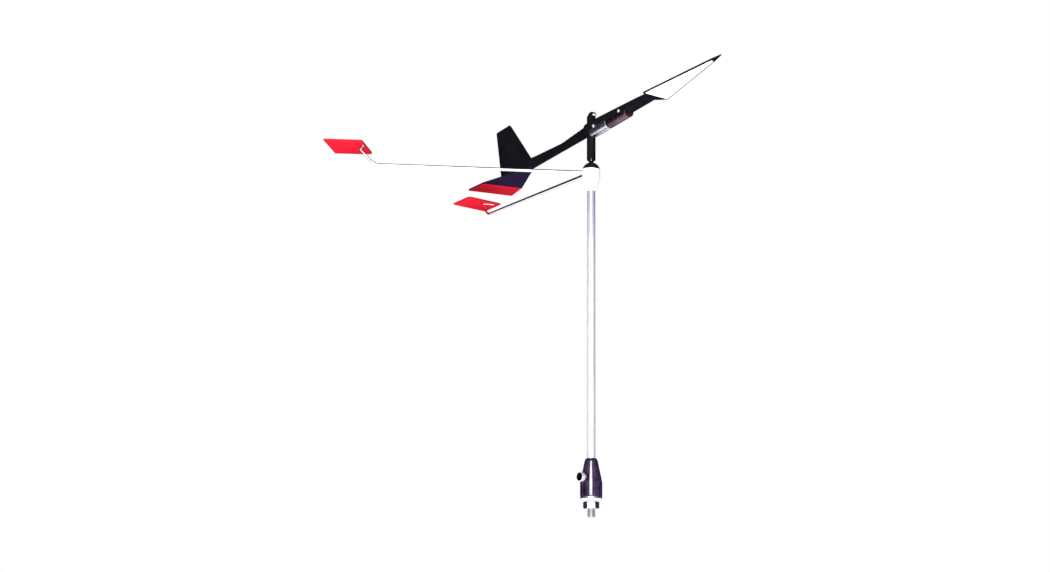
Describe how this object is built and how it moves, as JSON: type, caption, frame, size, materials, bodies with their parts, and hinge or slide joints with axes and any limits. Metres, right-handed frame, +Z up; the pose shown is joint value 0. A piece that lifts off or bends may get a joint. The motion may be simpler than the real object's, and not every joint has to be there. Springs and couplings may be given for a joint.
{
  "type": "masthead wind vane",
  "caption": "Sailing-boat masthead wind vane: arrow vane free on a needle pivot above a clamped rod, with adjustable reference tabs and a threaded base stud.",
  "frame": {"origin": "centre of the lock nut's lower face, on the stud's axis, where the part seats on a masthead bracket", "axes": "+Z up along the stud and rod, +X towards the boat's bow, +Y to port; the tab arms point aft, either side of -X"},
  "size_m": [0.3151, 0.2509, 0.3291],
  "materials": {
    "stud_steel": "turned stainless steel with a cut thread",
    "plug_metal": "satin turned",
    "socket_black": "glossy black moulding with a faint purple sheen",
    "screw_steel": "bright stainless steel",
    "rod_metal": "polished tube",
    "hub_white": "semi-gloss white moulding",
    "cap_black": "glossy black moulding",
    "needle_steel": "polished hard steel",
    "arm_steel": "polished stainless steel rod",
    "tab_plastic": "satin black sheet",
    "red_film": "red retroreflective film with a fine cell pattern",
    "white_film": "white retroreflective film with a fine cell pattern",
    "vane_black": "satin black moulding",
    "tail_violet": "satin blue-black moulding",
    "weight_steel": "bright turned bar",
    "weight_bronze": "dark oxidised bar",
    "holder_brass": "turned brass",
    "jewel": "polished synthetic ruby",
    "guide_nylon": "natural nylon"
  },
  "bodies": {
    "base": {"threaded_stud": "stud_steel", "lock_nut": "stud_steel", "base_plug": "plug_metal", "base_socket": "socket_black"},
    "clamp_screw": {"clamp_screw": "screw_steel"},
    "mast": {"mast_rod": "rod_metal", "hub_barrel": "hub_white", "wave_washer": "screw_steel", "hub_cap": "cap_black", "pivot_needle": "needle_steel"},
    "port_arm": {"port_collar": "hub_white", "port_arm": "arm_steel", "port_tab": "tab_plastic", "port_reflector": "red_film"},
    "starboard_arm": {"starboard_collar": "hub_white", "starboard_arm": "arm_steel", "starboard_tab": "tab_plastic", "starboard_reflector": "red_film"},
    "vane": {"bearing_tube": "vane_black", "tube_cap": "vane_black", "jewel_holder": "holder_brass", "pivot_jewel": "jewel", "lower_guide": "guide_nylon", "boom": "vane_black", "counterweight": "weight_steel", "trim_weight": "weight_bronze", "weight_screws": "screw_steel", "arrowhead": "vane_black", "arrow_panel": "white_film", "tail_fin": "vane_black", "tail_plate": "tail_violet", "tail_reflector": "red_film"}
  },
  "joints": [
    {"name": "clamp_screw_travel", "type": "slide", "parent": "base", "child": "clamp_screw", "axis": [-0.342, -0.9397, 0], "range_m": [0, 0.002]},
    {"name": "mast_swivel", "type": "hinge", "parent": "base", "child": "mast", "pos_m": [0, 0, 0.025], "axis": [0, 0, 1], "continuous": true},
    {"name": "port_arm_swing", "type": "hinge", "parent": "mast", "child": "port_arm", "pos_m": [0, 0, 0.2446], "axis": [0, 0, -1], "range_deg": [-17, 28]},
    {"name": "starboard_arm_swing", "type": "hinge", "parent": "mast", "child": "starboard_arm", "pos_m": [0, 0, 0.2446], "axis": [0, 0, 1], "range_deg": [-17, 28]},
    {"name": "vane_spin", "type": "hinge", "parent": "mast", "child": "vane", "pos_m": [0, 0, 0.27], "axis": [0, 0, 1], "continuous": true}
  ]
}
